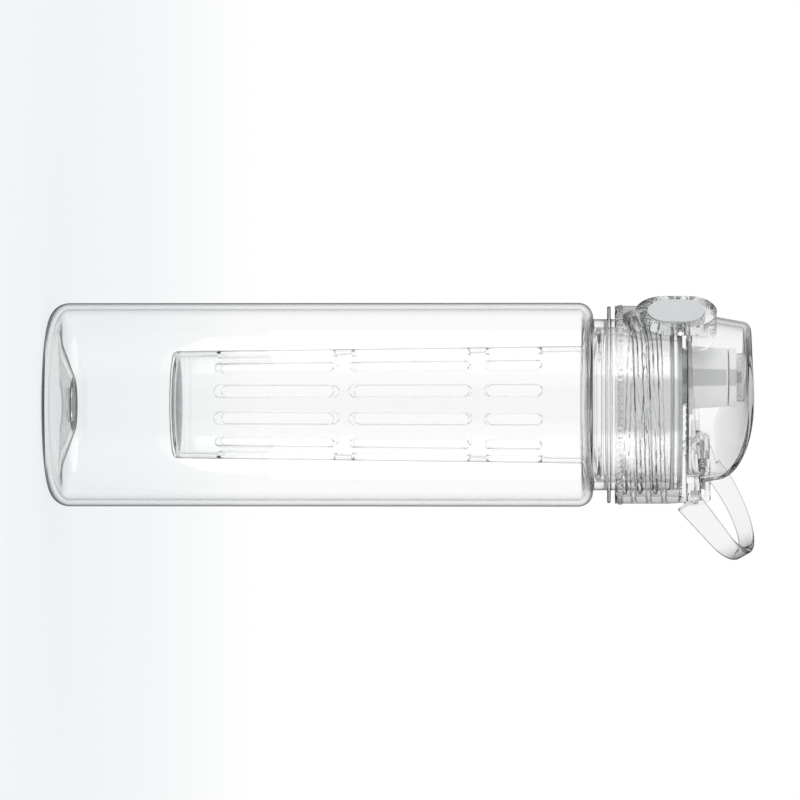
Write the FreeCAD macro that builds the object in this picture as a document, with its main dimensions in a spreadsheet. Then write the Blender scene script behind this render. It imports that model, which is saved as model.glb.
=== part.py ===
"""Clear fruit infuser bottle: body, hanging basket, screw cap with flip cover, push latch and carry loop.

Millimetres, +Z up along the bottle's axis, origin at the middle of the foot ring.
The push button faces -Y, the cover's hinge and the carry loop face +Y.
"""
import FreeCAD, Part
import math
import os
import Sketcher

SIZES = {
    # bottle body
    "body_diameter": 73.0,
    "body_wall": 2.0,
    "body_height": 195.0,
    "base_corner_radius": 7.0,
    "foot_width": 3.0,
    "pushup_height": 6.5,
    "pushup_disc_radius": 9.0,
    "base_thickness": 2.4,
    # neck
    "shoulder_radius": 5.9,
    "neck_wall": 2.6,
    "neck_height": 27.5,
    "support_ring_width": 4.6,
    "support_ring_thickness": 1.3,
    "support_ring_lift": 5.0,
    # infuser basket and its gasket
    "basket_length": 179.1,
    "basket_bottom_diameter": 38.4,
    "basket_top_diameter": 42.2,
    "basket_wall": 1.6,
    "basket_floor": 1.8,
    "basket_corner_radius": 1.6,
    "basket_collar_length": 27.0,
    "basket_collar_wall": 2.0,
    "basket_collar_clearance": 0.35,
    "basket_step_height": 3.5,
    "basket_flange_thickness": 1.6,
    "basket_flange_inset": 0.2,
    "infuser_gasket_thickness": 1.0,
    "slot_width": 4.6,
    "slot_columns": 12.0,
    "long_slot_length": 42.7,
    "short_slot_length": 20.3,
    "slot_row_gap": 5.4,
    "slot_start_height": 15.9,
    "slot_turn": 12.0,
    # screw cap
    "cap_thread_room": 2.4,
    "cap_wall": 2.4,
    "cap_skirt_gap": 1.5,
    "cap_gasket_thickness": 1.4,
    "cap_gasket_width": 4.2,
    "deck_thickness": 1.9,
    "parting_lift": 0.6,
    "parting_angle": 4.5,
    "parting_gap": 0.3,
    "cap_taper_drop": 6.4,
    "cap_top_draw": 2.0,
    "tray_inset": 1.2,
    # drinking spout and its seal
    "spout_front_room": 5.3,
    "spout_base_radius": 11.2,
    "spout_tip_radius": 10.4,
    "spout_bore_radius": 8.4,
    "spout_height": 14.6,
    "spout_lip_radius": 0.8,
    "spout_flange_radius": 13.2,
    "spout_flange_thickness": 1.4,
    "spout_spigot_wall": 1.5,
    "spout_fit": 0.05,
    "seal_gap": 0.3,
    "seal_thickness": 2.6,
    "seal_plug_depth": 2.4,
    "seal_plug_draw": 1.4,
    "seal_stem_height": 1.8,
    # flip cover
    "cover_front_inset": 2.2,
    "cover_wall": 1.9,
    "cover_lean": 10.0,
    "cover_rear_inset": 5.4,
    "cover_flank_radius": 20.0,
    "cover_roof_rise": 4.1,
    "cover_crest_lead": 4.4,
    "cover_rear_lift": 4.0,
    "cover_edge_radius": 3.6,
    "seal_boss_radius": 8.6,
    "seal_boss_wall": 1.6,
    # hinge
    "hinge_inset": 8.4,
    "hinge_lift": 5.6,
    "hinge_pin_radius": 1.2,
    "hinge_running_clearance": 0.05,
    "knuckle_radius": 3.0,
    "knuckle_clearance": 0.4,
    "spring_bay_half_width": 4.9,
    "cover_knuckle_half_width": 12.6,
    "collar_knuckle_half_width": 19.6,
    "hinge_pin_half_length": 16.0,
    "knuckle_side_gap": 0.35,
    "hinge_spring_wire": 0.8,
    "hinge_spring_gap_to_pin": 0.35,
    "hinge_spring_pitch": 1.35,
    "hinge_spring_turns": 5.5,
    "hinge_spring_leg": 4.4,
    # push latch
    "bezel_length": 28.7,
    "bezel_width": 20.4,
    "bezel_drop": 4.6,
    "bezel_proud": 4.1,
    "bezel_wall": 2.5,
    "bezel_end_margin": 1.5,
    "bezel_floor_inset": 1.1,
    "button_clearance": 0.35,
    "button_thickness": 2.2,
    "button_proud": 0.3,
    "button_boss_radius": 1.8,
    "latch_pin_radius": 0.8,
    "latch_pin_proud": 1.1,
    "latch_pin_lift": 1.4,
    "latch_nib_length": 6.0,
    "latch_nib_thickness": 1.2,
    "latch_nib_drop": 1.6,
    "latch_nib_gap": 0.5,
    "latch_catch_lift": 1.6,
    "latch_catch_depth": 0.25,
    "button_boss_inset": 0.8,
    "latch_spring_wire": 0.5,
    "latch_spring_radius": 1.8,
    "latch_spring_slack": 0.1,
    "latch_spring_turns": 2.25,
    "latch_spring_drop": 7.0,
    # carry loop
    "loop_side_gap": 0.8,
    "loop_tip_draw": 1.0,
    "loop_leg_length": 23.0,
    "loop_length": 40.4,
    "loop_thickness": 2.2,
    "loop_root_width": 10.0,
    "loop_tip_width": 6.2,
    "loop_tilt": 34.0,
    "loop_root_drop": 5.2,
    "loop_plug_depth": 4.2,
    "loop_plug_width": 4.0,
    "loop_plug_height": 2.8,
    "loop_plug_lift": 2.4,
    "loop_root_relief": 1.4,
    "loop_root_setback": 1.2,
    "loop_plug_fit": 0.05,
    # reach of every cutting body beyond what it cuts
    "overrun": 5.0,
}

doc = FreeCAD.newDocument("infuser_bottle")
sheet = doc.addObject("Spreadsheet::Sheet", "Sizes")
for row, (label, millimetres) in enumerate(SIZES.items(), start=1):
    sheet.set(f"A{row}", label)
    sheet.set(f"B{row}", str(millimetres))
    sheet.setAlias(f"B{row}", label)
doc.recompute()


class Size:
    """A length that keeps its number and the sheet expression that it comes from."""

    def __init__(self, number, text):
        self.number = float(number)
        self.text = text

    @staticmethod
    def of(other):
        return other if isinstance(other, Size) else Size(other, repr(other))

    def __add__(self, other):
        other = Size.of(other)
        return Size(self.number + other.number, f"({self.text} + {other.text})")

    def __sub__(self, other):
        other = Size.of(other)
        return Size(self.number - other.number, f"({self.text} - {other.text})")

    def __mul__(self, other):
        other = Size.of(other)
        return Size(self.number * other.number, f"({self.text} * {other.text})")

    def __truediv__(self, other):
        other = Size.of(other)
        return Size(self.number / other.number, f"({self.text} / {other.text})")

    def __neg__(self):
        return Size(-self.number, f"(0 - {self.text})")


def size(alias):
    return Size(sheet.get(alias), f"Sizes.{alias}")


def root(value):
    return Size(math.sqrt(value.number), f"sqrt({value.text})")


def tangent(angle):
    return Size(math.tan(math.radians(angle.number)), f"tan({angle.text} * 1 deg)")


def cosine(angle):
    return Size(math.cos(math.radians(angle.number)), f"cos({angle.text} * 1 deg)")


def sine(angle):
    return Size(math.sin(math.radians(angle.number)), f"sin({angle.text} * 1 deg)")


def chord_half(radius, offset):
    """Half the chord of a circle at an offset from its centre."""
    return root(radius * radius - offset * offset)


ZERO = Size(0, "0")
HALF = 0.5
RIM_POINT_SHARES = (0.1, 0.5, 0.9)
SAME_PLACE = 1e-4
QUARTERS = 4


def bind(target, prop, value):
    target.setExpression(prop, Size.of(value).text)


def place(target, x=ZERO, y=ZERO, z=ZERO):
    """Move an object, keeping any turn that it already has."""
    bind(target, "Placement.Base.x", x)
    bind(target, "Placement.Base.y", y)
    bind(target, "Placement.Base.z", z)
    return target


def turn(target, axis, angle):
    rotation = FreeCAD.Rotation(FreeCAD.Vector(*axis), angle.number)
    target.Placement = FreeCAD.Placement(FreeCAD.Vector(), rotation)
    bind(target, "Placement.Rotation.Angle", angle)
    return target


def new_body(name):
    return doc.addObject("PartDesign::Body", name)


def plane_of(body, role):
    return next(feature for feature in body.Origin.OriginFeatures if feature.Role == role)


def arc_centre(start, end, radius, side):
    """Centre of the shorter arc from start to end, on its left for side 1 and on its right for side -1."""
    chord = end - start
    lift = math.sqrt(max(radius * radius - chord.Length * chord.Length / 4, 0.0))
    across = FreeCAD.Vector(-chord.y, chord.x, 0).normalize()
    return (start + end) / 2 + across * (side * lift)


def pin_point(sketch, geometry, end, axis, value):
    """Hold one coordinate of a sketch point at a size counted from the sketch's origin."""
    if value.number == 0:
        sketch.addConstraint(Sketcher.Constraint("PointOnObject", geometry, end, -2 if axis == "X" else -1))
        return
    if value.number > 0:
        ends = (-1, 1, geometry, end)
        held = value
    else:
        ends = (geometry, end, -1, 1)
        held = -value
    index = sketch.addConstraint(Sketcher.Constraint(f"Distance{axis}", *ends, held.number))
    bind(sketch, f"Constraints[{index}]", held)


def add_outline(sketch, outline):
    """Draw a closed outline of (x, y) corners; (x, y, radius, side) reaches its corner by an arc."""
    corners = [FreeCAD.Vector(point[0].number, point[1].number, 0) for point in outline]
    spans = []
    for index, point in enumerate(outline):
        start = corners[index - 1]
        end = corners[index]
        if len(point) == 2:
            spans.append((sketch.addGeometry(Part.LineSegment(start, end)), 1, 2))
            continue
        radius, side = point[2], point[3]
        centre = arc_centre(start, end, radius.number, side)
        first, last = (start, end) if side > 0 else (end, start)
        angles = [math.atan2(corner.y - centre.y, corner.x - centre.x) for corner in (first, last)]
        circle = Part.Circle(centre, FreeCAD.Vector(0, 0, 1), radius.number)
        arc = sketch.addGeometry(Part.ArcOfCircle(circle, angles[0], angles[1]))
        spans.append((arc, 1, 2) if side > 0 else (arc, 2, 1))
        held = sketch.addConstraint(Sketcher.Constraint("Radius", arc, radius.number))
        bind(sketch, f"Constraints[{held}]", radius)
    for index, (geometry, _, end) in enumerate(spans):
        following, start, _ = spans[(index + 1) % len(spans)]
        sketch.addConstraint(Sketcher.Constraint("Coincident", geometry, end, following, start))
        pin_point(sketch, geometry, end, "X", outline[index][0])
        pin_point(sketch, geometry, end, "Y", outline[index][1])


def new_sketch(body, name, role, outlines):
    sketch = body.newObject("Sketcher::SketchObject", name)
    sketch.AttachmentSupport = (plane_of(body, role), [""])
    sketch.MapMode = "FlatFace"
    for outline in outlines:
        add_outline(sketch, outline)
    return sketch


def revolved(name, outline):
    """A body turned about Z from an outline of (radius, height) corners."""
    body = new_body(name)
    sketch = new_sketch(body, f"{name}_profile", "XZ_Plane", [outline])
    turned = body.newObject("PartDesign::Revolution", f"{name}_turn")
    turned.Profile = sketch
    turned.ReferenceAxis = (sketch, ["V_Axis"])
    turned.Angle = 360
    return body


def padded(name, role, outlines, length, both_ways=True, taper=None):
    """A body drawn on one of its origin planes and padded square to it."""
    body = new_body(name)
    sketch = new_sketch(body, f"{name}_profile", role, outlines)
    pad = body.newObject("PartDesign::Pad", f"{name}_pad")
    pad.Profile = sketch
    bind(pad, "Length", length)
    if both_ways:
        pad.SideType = "Symmetric"
    if taper is not None:
        bind(pad, "TaperAngle", taper)
    return body


def cylinder(name, radius, length, axis="Z"):
    """A rod centred on the origin along an axis."""
    rod = doc.addObject("Part::Cylinder", name)
    bind(rod, "Radius", radius)
    bind(rod, "Height", length)
    half = -length * HALF
    if axis == "X":
        rod.Placement.Rotation = FreeCAD.Rotation(FreeCAD.Vector(0, 1, 0), 90)
        return place(rod, x=half)
    if axis == "Y":
        rod.Placement.Rotation = FreeCAD.Rotation(FreeCAD.Vector(1, 0, 0), -90)
        return place(rod, y=half)
    return place(rod, z=half)


def block(name, low, high):
    """A box between two corners."""
    box = doc.addObject("Part::Box", name)
    for prop, start, end in zip(("Length", "Width", "Height"), low, high):
        bind(box, prop, end - start)
    return place(box, *low)


def fused(name, shapes):
    joined = doc.addObject("Part::MultiFuse", name)
    joined.Shapes = shapes
    joined.Refine = True
    return joined


def cut(name, base, tools):
    tool = tools[0] if len(tools) == 1 else fused(f"{name}_tools", tools)
    trimmed = doc.addObject("Part::Cut", name)
    trimmed.Base = base
    trimmed.Tool = tool
    trimmed.Refine = True
    return trimmed


def shared(name, shapes):
    overlap = doc.addObject("Part::MultiCommon", name)
    overlap.Shapes = shapes
    overlap.Refine = True
    return overlap


overrun = size("overrun")
body_radius = size("body_diameter") * HALF
body_bore = body_radius - size("body_wall")
body_height = size("body_height")
neck_radius = body_radius - size("shoulder_radius")
neck_bore = neck_radius - size("neck_wall")
neck_top = body_height + size("neck_height")
ring_radius = neck_radius + size("support_ring_width")
ring_bottom = body_height + size("support_ring_lift")
ring_top = ring_bottom + size("support_ring_thickness")
flange_bottom = neck_top + size("infuser_gasket_thickness")
flange_top = flange_bottom + size("basket_flange_thickness")
flange_radius = neck_radius - size("basket_flange_inset")
deck_bottom = flange_top + size("cap_gasket_thickness")
tray_floor = deck_bottom + size("deck_thickness")
cap_bore = neck_radius + size("cap_thread_room")
cap_radius = cap_bore + size("cap_wall")
skirt_bottom = ring_top + size("cap_skirt_gap")
parting_front = tray_floor + size("parting_lift")
hinge_reach = cap_radius - size("hinge_inset")
hinge_height = tray_floor + size("hinge_lift")
cover_front = cap_radius - size("cover_front_inset")
cover_rear = hinge_reach - size("cover_rear_inset")
tray_margin = size("cover_wall") + size("tray_inset")
spout_offset = cover_front - tray_margin - size("spout_flange_radius") - size("spout_front_room")
spout_rim = tray_floor + size("spout_height")
seal_bottom = spout_rim + size("seal_gap")
seal_top = seal_bottom + size("seal_thickness")
cover_top = seal_top + size("seal_stem_height") + size("cover_roof_rise")
crest_offset = spout_offset + size("cover_crest_lead")
bezel_centre = parting_front - size("bezel_drop")
bezel_face = cap_radius + size("bezel_proud")
bezel_floor = cap_radius - size("bezel_floor_inset")
latch_reach = cap_radius + size("latch_pin_proud")
latch_height = bezel_centre + size("latch_pin_lift")
loop_root_half = size("collar_knuckle_half_width") + size("loop_side_gap") + size("loop_thickness")
loop_tip_half = loop_root_half - size("loop_tip_draw")
loop_root_height = hinge_height - size("loop_root_drop")


def make_bottle_body():
    """Blown body with a pushed-up base, a quarter-round shoulder and a neck with its support ring."""
    corner = size("base_corner_radius")
    foot_outer = body_radius - corner
    foot_inner = foot_outer - size("foot_width")
    disc = size("pushup_disc_radius")
    pushup = size("pushup_height")
    base = size("base_thickness")
    wall = size("body_wall")
    shoulder = body_radius - neck_radius
    inner_shoulder = body_bore - neck_bore
    shoulder_under = body_height - wall
    outline = [
        (ZERO, pushup),
        (disc, pushup),
        (foot_inner, ZERO),
        (foot_outer, ZERO),
        (body_radius, corner, corner, 1),
        (body_radius, body_height - shoulder),
        (neck_radius, body_height, shoulder, 1),
        (neck_radius, ring_bottom),
        (ring_radius, ring_bottom),
        (ring_radius, ring_top),
        (neck_radius, ring_top),
        (neck_radius, neck_top),
        (neck_bore, neck_top),
        (neck_bore, shoulder_under),
        (body_bore, shoulder_under - inner_shoulder, inner_shoulder, -1),
        (body_bore, corner),
        (foot_outer, wall, corner - wall, -1),
        (foot_inner, base),
        (disc, pushup + base),
        (ZERO, pushup + base),
    ]
    return revolved("bottle_body", outline)


def slot_outline(low, high):
    half = size("slot_width") * HALF
    return [
        (half, high - half),
        (ZERO, high, half, 1),
        (-half, high - half, half, 1),
        (-half, low + half),
        (ZERO, low, half, 1),
        (half, low + half, half, 1),
    ]


def make_infuser_basket():
    """Tapered basket with rows of slots, hung in the neck by a wide collar and flange."""
    wall = size("basket_wall")
    corner = size("basket_corner_radius")
    bottom = flange_bottom - size("basket_length")
    floor_top = bottom + size("basket_floor")
    bottom_radius = size("basket_bottom_diameter") * HALF
    top_radius = size("basket_top_diameter") * HALF
    collar_radius = neck_bore - size("basket_collar_clearance")
    collar_bore = collar_radius - size("basket_collar_wall")
    collar_bottom = flange_bottom - size("basket_collar_length")
    tube_top = collar_bottom - size("basket_step_height")
    outline = [
        (ZERO, bottom),
        (bottom_radius - corner, bottom),
        (bottom_radius, bottom + corner, corner, 1),
        (top_radius, tube_top),
        (collar_radius, collar_bottom),
        (collar_radius, flange_bottom),
        (flange_radius, flange_bottom),
        (flange_radius, flange_top),
        (collar_bore, flange_top),
        (collar_bore, collar_bottom + wall),
        (top_radius - wall, tube_top + wall),
        (bottom_radius - wall, floor_top),
        (ZERO, floor_top),
    ]
    basket = revolved("infuser_basket", outline)
    rows = []
    low = bottom + size("slot_start_height")
    for length in ("long_slot_length", "long_slot_length", "short_slot_length"):
        high = low + size(length)
        rows.append(slot_outline(low, high))
        low = high + size("slot_row_gap")
    sketch = new_sketch(basket, "slot_rows", "XZ_Plane", rows)
    slots = basket.newObject("PartDesign::Pocket", "slots")
    slots.Profile = sketch
    slots.Type = "ThroughAll"
    slots.SideType = "Symmetric"
    columns = size("slot_columns")
    ring = basket.newObject("PartDesign::PolarPattern", "slot_ring")
    ring.Originals = [slots]
    ring.Axis = (sketch, ["V_Axis"])
    bind(ring, "Occurrences", columns * HALF)
    bind(ring, "Angle", (columns - 2) * 180 / columns)
    basket.Tip = ring
    turn(basket, (0, 0, 1), size("slot_turn"))
    return basket


def ring_outline(inner, outer, low, high):
    return [(outer, low), (outer, high), (inner, high), (inner, low)]


def make_gaskets():
    """Flat silicone rings under and over the basket's flange."""
    lower = revolved("infuser_gasket", ring_outline(neck_bore, neck_radius, neck_top, flange_bottom))
    inner = flange_radius - size("cap_gasket_width")
    upper = revolved("cap_gasket", ring_outline(inner, flange_radius, flange_top, deck_bottom))
    return [lower, upper]


def cover_plan(inset):
    """Plan outline of the flip cover: a round front, round flanks and a straight hinge edge."""
    front = cover_front
    flank = size("cover_flank_radius")
    rear = cover_rear
    centre_y = rear - flank
    centre_x = chord_half(front - flank, centre_y)
    radius = front - inset
    meet_x = centre_x * radius / (front - flank)
    meet_y = centre_y * radius / (front - flank)
    return [
        (centre_x, rear - inset, flank - inset, 1),
        (-centre_x, rear - inset),
        (-meet_x, meet_y, flank - inset, 1),
        (ZERO, -radius, radius, 1),
        (meet_x, meet_y, radius, 1),
    ]


def parting_block(name, lift, upward):
    """A block on one side of the sloping plane where the cover meets the cap."""
    reach = cap_radius + overrun
    tall = cover_top - skirt_bottom
    slope = size("parting_angle")
    span = reach * 2 / cosine(slope) + tall
    front = -reach
    level = parting_front + lift + (cap_radius - reach) * tangent(slope)
    box = doc.addObject("Part::Box", name)
    turn(box, (1, 0, 0), slope)
    bind(box, "Length", reach * 2)
    bind(box, "Width", span)
    bind(box, "Height", tall)
    if upward:
        return place(box, -reach, front, level)
    return place(box, -reach, front + tall * sine(slope), level - tall * cosine(slope))


def stadium_outline(inset, end_margin):
    """Outline of the latch bezel, or of what lies inside it by an inset and a further margin at its ends."""
    radius = size("bezel_width") * HALF - inset
    straight = (size("bezel_length") - size("bezel_width")) * HALF - end_margin
    middle = bezel_centre
    high = middle + straight
    low = middle - straight
    return [
        (radius, high),
        (ZERO, high + radius, radius, 1),
        (-radius, high, radius, 1),
        (-radius, low),
        (ZERO, low - radius, radius, 1),
        (radius, low, radius, 1),
    ]


def make_bezel_blank(name):
    """The whole oval bezel, solid from the axis out to its face."""
    return padded(name, "XZ_Plane", [stadium_outline(ZERO, ZERO)], bezel_face, both_ways=False)


def make_bezel_pocket(name):
    """The well in the bezel where the button rocks."""
    depth = bezel_face - bezel_floor + overrun
    outline = stadium_outline(size("bezel_wall"), size("bezel_end_margin"))
    pocket = padded(name, "XZ_Plane", [outline], depth, both_ways=False)
    return place(pocket, y=-bezel_floor)


def latch_axis_rod(name, radius, length):
    rod = cylinder(name, radius, length, axis="X")
    return place(rod, -length * HALF, -latch_reach, latch_height)


def hinge_axis_rod(name, radius, start, end):
    rod = cylinder(name, radius, end - start, axis="X")
    return place(rod, start, hinge_reach, hinge_height)


def both_sides(name, make, inner, outer):
    """Two mirrored copies of a piece made between an inner and an outer distance from the middle."""
    return [make(f"{name}_right", inner, outer), make(f"{name}_left", -outer, -inner)]


def make_collar_knuckles():
    radius = size("knuckle_radius")
    inner = size("cover_knuckle_half_width") + size("knuckle_side_gap")
    outer = size("collar_knuckle_half_width")

    def barrel(name, start, end):
        return hinge_axis_rod(name, radius, start, end)

    def foot(name, start, end):
        low = (start, hinge_reach - radius, tray_floor - size("deck_thickness") * HALF)
        return block(name, low, (end, hinge_reach + radius, hinge_height))

    return both_sides("collar_barrel", barrel, inner, outer) + both_sides("collar_foot", foot, inner, outer)


def make_cap_collar():
    """Screw cap: skirt, deck, drip tray, lower half of the bezel and the outer hinge knuckles."""
    upper_radius = cap_radius - size("cap_top_draw")
    outline = [
        (ZERO, skirt_bottom),
        (cap_radius, skirt_bottom),
        (cap_radius, tray_floor - size("cap_taper_drop")),
        (upper_radius, cover_top),
        (ZERO, cover_top),
    ]
    blank = fused("collar_blank", [revolved("collar_round", outline), make_bezel_blank("collar_bezel")])
    hinge_front = cover_rear + size("knuckle_clearance")
    back = cap_radius + overrun
    side = loop_root_half + size("knuckle_clearance")
    above = parting_block("collar_above", ZERO, True)
    hinge_bay = block("hinge_bay", (-side, hinge_front, tray_floor), (side, back, cover_top + overrun))
    tray = place(padded("tray", "XY_Plane", [cover_plan(tray_margin)], cover_top, False), z=tray_floor)
    trimmed = cut("collar_trimmed", blank, [above, hinge_bay, tray])
    hinged = fused("collar_hinged", [trimmed] + make_collar_knuckles())
    bore_length = (deck_bottom - skirt_bottom + overrun) * 2
    bore = place(cylinder("collar_bore", cap_bore, bore_length), z=deck_bottom - bore_length)
    spigot = size("spout_bore_radius") + size("spout_spigot_wall") + size("spout_fit")
    spout_hole = cylinder("spout_hole", spigot, cover_top)
    place(spout_hole, y=-spout_offset, z=skirt_bottom)
    running = size("hinge_running_clearance")
    pin_half = size("collar_knuckle_half_width") + overrun
    pin_hole = hinge_axis_rod("collar_pin_hole", size("hinge_pin_radius") + running, -pin_half, pin_half)
    latch_bore = size("latch_pin_radius") + running
    latch_hole = latch_axis_rod("latch_hole", latch_bore, size("bezel_width") + overrun)
    sockets = both_sides("socket", loop_tab_maker(size("loop_plug_fit")), *tab_span())
    tools = [bore, spout_hole, pin_hole, latch_hole, make_bezel_pocket("collar_pocket")] + sockets
    return cut("cap_collar", hinged, tools)


def loop_tab_maker(fit):
    """Blocks that plug into the collar's knuckles, or with a fit their sockets."""
    half = size("loop_plug_width") * HALF + fit
    height = size("loop_plug_height") * HALF + fit
    level = loop_root_height + size("loop_plug_lift")

    def tab(name, start, end):
        low = (start, hinge_reach - half, level - height)
        return block(name, low, (end, hinge_reach + half, level + height))

    return tab


def tab_span():
    outer = loop_root_half - size("loop_thickness")
    return outer - size("loop_plug_depth"), outer + size("loop_thickness") * HALF


def make_drinking_spout():
    """Mouthpiece with a flange on the tray and a spigot through the deck."""
    bore = size("spout_bore_radius")
    spigot = bore + size("spout_spigot_wall")
    flange = size("spout_flange_radius")
    flange_face = tray_floor + size("spout_flange_thickness")
    tip = size("spout_tip_radius")
    lip = size("spout_lip_radius")
    outline = [
        (spigot, deck_bottom),
        (spigot, tray_floor),
        (flange, tray_floor),
        (flange, flange_face),
        (size("spout_base_radius"), flange_face),
        (tip, spout_rim - lip),
        (tip - lip, spout_rim, lip, 1),
        (bore + lip, spout_rim),
        (bore, spout_rim - lip, lip, 1),
        (bore, deck_bottom),
    ]
    return place(revolved("drinking_spout", outline), y=-spout_offset)


def make_spout_seal():
    """Silicone plug with a stem that the cover's boss holds."""
    bore = size("spout_bore_radius")
    stem = size("seal_boss_radius") - size("seal_boss_wall") - size("spout_fit")
    outline = [
        (ZERO, seal_bottom - size("seal_plug_depth")),
        (bore - size("seal_plug_draw"), seal_bottom - size("seal_plug_depth")),
        (bore - size("seal_gap"), seal_bottom),
        (size("spout_tip_radius"), seal_bottom),
        (size("spout_tip_radius"), seal_top),
        (stem, seal_top),
        (stem, seal_top + size("seal_stem_height")),
        (ZERO, seal_top + size("seal_stem_height")),
    ]
    return place(revolved("spout_seal", outline), y=-spout_offset)


def roof_radius():
    """Radius of the roof, which is level at its crest and falls to the hinge."""
    run = cover_rear + crest_offset
    drop = cover_top - hinge_height - size("cover_rear_lift")
    return (run * run + drop * drop) / (drop * 2)


def cover_form(name, inset, edge_radius):
    """The cover's outer form, or its hollow, with rounded roof edges."""
    radius = roof_radius()
    tall = cover_top - parting_front + overrun
    walls = padded(f"{name}_walls", "XY_Plane", [cover_plan(inset)], tall, False, -size("cover_lean"))
    place(walls, z=parting_front)
    roof = cylinder(f"{name}_roof", radius - inset, cap_radius * 4, axis="X")
    place(roof, -cap_radius * 2, -crest_offset, cover_top - radius)
    form = shared(f"{name}_form", [walls, roof])
    doc.recompute()
    crest = FreeCAD.Vector(0, -crest_offset.number, (cover_top - radius).number)
    rim = []
    for index, edge in enumerate(form.Shape.Edges, start=1):
        points = [edge.valueAt(edge.FirstParameter + share * (edge.LastParameter - edge.FirstParameter))
                  for share in RIM_POINT_SHARES]
        reaches = [math.hypot(point.y - crest.y, point.z - crest.z) for point in points]
        if max(abs(reach - (radius - inset).number) for reach in reaches) < SAME_PLACE:
            rim.append((index, edge_radius.number, edge_radius.number))
    rounded = doc.addObject("Part::Fillet", f"{name}_rounded")
    rounded.Base = form
    rounded.Edges = rim
    return rounded


def make_flip_cover():
    """Clear flip cover: shell, seal boss, upper half of the bezel and the middle hinge knuckles."""
    wall = size("cover_wall")
    gap = size("parting_gap")
    outer = cover_form("cover_outer", ZERO, size("cover_edge_radius"))
    hollow = cover_form("cover_hollow", wall, size("cover_edge_radius") - wall)
    above = parting_block("cover_above", gap, True)
    boss_radius = size("seal_boss_radius")
    boss_rod = cylinder("boss_rod", boss_radius, cover_top - seal_top)
    place(boss_rod, y=-spout_offset, z=seal_top)
    boss_well = cylinder("boss_well", boss_radius - size("seal_boss_wall"), size("seal_stem_height") * 2)
    place(boss_well, y=-spout_offset, z=seal_top - size("seal_stem_height"))
    bezel = make_bezel_blank("cover_bezel")
    behind = cylinder("behind_bezel", cover_front - wall * 2, cover_top * 2)
    raised_bezel = cut("raised_bezel", bezel, [behind])
    shell = fused("cover_shell", [cut("cover_bare", outer, [hollow]), raised_bezel,
                                  shared("seal_boss", [boss_rod, outer])])
    trimmed = shared("cover_trimmed", [shell, above])
    knuckle = size("knuckle_radius")
    inner = size("spring_bay_half_width")
    reach = size("cover_knuckle_half_width")

    def barrel(name, start, end):
        return hinge_axis_rod(name, knuckle, start, end)

    def web(name, start, end):
        low = (start, cover_rear - wall - wall * HALF, hinge_height + size("hinge_pin_radius"))
        return block(name, low, (end, hinge_reach, hinge_height + knuckle))

    arms = both_sides("cover_barrel", barrel, inner, reach) + both_sides("cover_web", web, inner, reach)
    catch_half = size("latch_nib_length") * HALF
    catch_low = parting_front + size("latch_catch_lift")
    catch_high = catch_low + size("latch_nib_thickness")
    well_floor = -bezel_floor
    catch = block(
        "latch_catch",
        (-catch_half, well_floor - size("latch_catch_depth"), catch_low),
        (catch_half, well_floor + wall, catch_high),
    )
    hinged = fused("cover_hinged", [trimmed] + arms)
    pocketed = cut("cover_pocketed", hinged, [make_bezel_pocket("cover_pocket")])
    caught = fused("cover_caught", [pocketed, catch])
    running = size("hinge_running_clearance")
    pin_hole = hinge_axis_rod("cover_pin_hole", size("hinge_pin_radius") + running, -reach * 2, reach * 2)
    return cut("flip_cover", caught, [pin_hole, boss_well])


def make_latch_button():
    """Rocking push button: an oval plate with a pin boss and a nib over the cover's catch."""
    clearance = size("bezel_wall") + size("button_clearance")
    thickness = size("button_thickness")
    face = -(bezel_face + size("button_proud"))
    outline = stadium_outline(clearance, size("bezel_end_margin"))
    plate = padded("button_plate", "XZ_Plane", [outline], thickness, both_ways=False)
    place(plate, y=face + thickness)
    boss_length = (size("bezel_width") * HALF - clearance - size("button_boss_inset")) * 2
    boss = latch_axis_rod("button_boss", size("button_boss_radius"), boss_length)
    top = bezel_centre + size("bezel_length") * HALF - clearance - size("bezel_end_margin")
    nib_top = top - size("latch_nib_drop")
    nib = block(
        "latch_nib",
        (-size("latch_nib_length") * HALF, face + thickness * HALF, nib_top - size("latch_nib_thickness")),
        (size("latch_nib_length") * HALF, -bezel_floor - size("latch_nib_gap"), nib_top),
    )
    hole = latch_axis_rod("button_hole", size("latch_pin_radius") + size("hinge_running_clearance"),
                          size("bezel_width"))
    return cut("latch_button", fused("button_blank", [plate, boss, nib]), [hole])


def make_pins():
    hinge_half = size("hinge_pin_half_length")
    hinge_pin = hinge_axis_rod("hinge_pin", size("hinge_pin_radius"), -hinge_half, hinge_half)
    latch_pin = latch_axis_rod("latch_pin", size("latch_pin_radius"), size("bezel_width"))
    return [hinge_pin, latch_pin]


def arc_edge(start, corner, end):
    """Arc from start to end that is tangent to the legs of their corner."""
    middle = (start + end) / 2
    half_chord = (end - start).Length / 2
    height = (corner - middle).Length
    leg = (corner - start).Length
    crown = middle + (corner - middle).normalize() * (height * half_chord / (leg + half_chord))
    return Part.Arc(start, crown, end).toShape()


def biarc(start, heading, end, arrival):
    """Two tangent arcs from start to end that leave and arrive along the given directions."""
    chord = end - start
    spread = heading + arrival
    bend = 2 * (heading.dot(arrival) - 1)
    slope = -2 * chord.dot(spread)
    reach = (-slope - math.sqrt(slope * slope - 4 * bend * chord.dot(chord))) / (2 * bend)
    first = start + heading * abs(reach)
    last = end - arrival * abs(reach)
    joint = (first + last) / 2
    return [arc_edge(start, first, joint), arc_edge(joint, last, end)]


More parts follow.
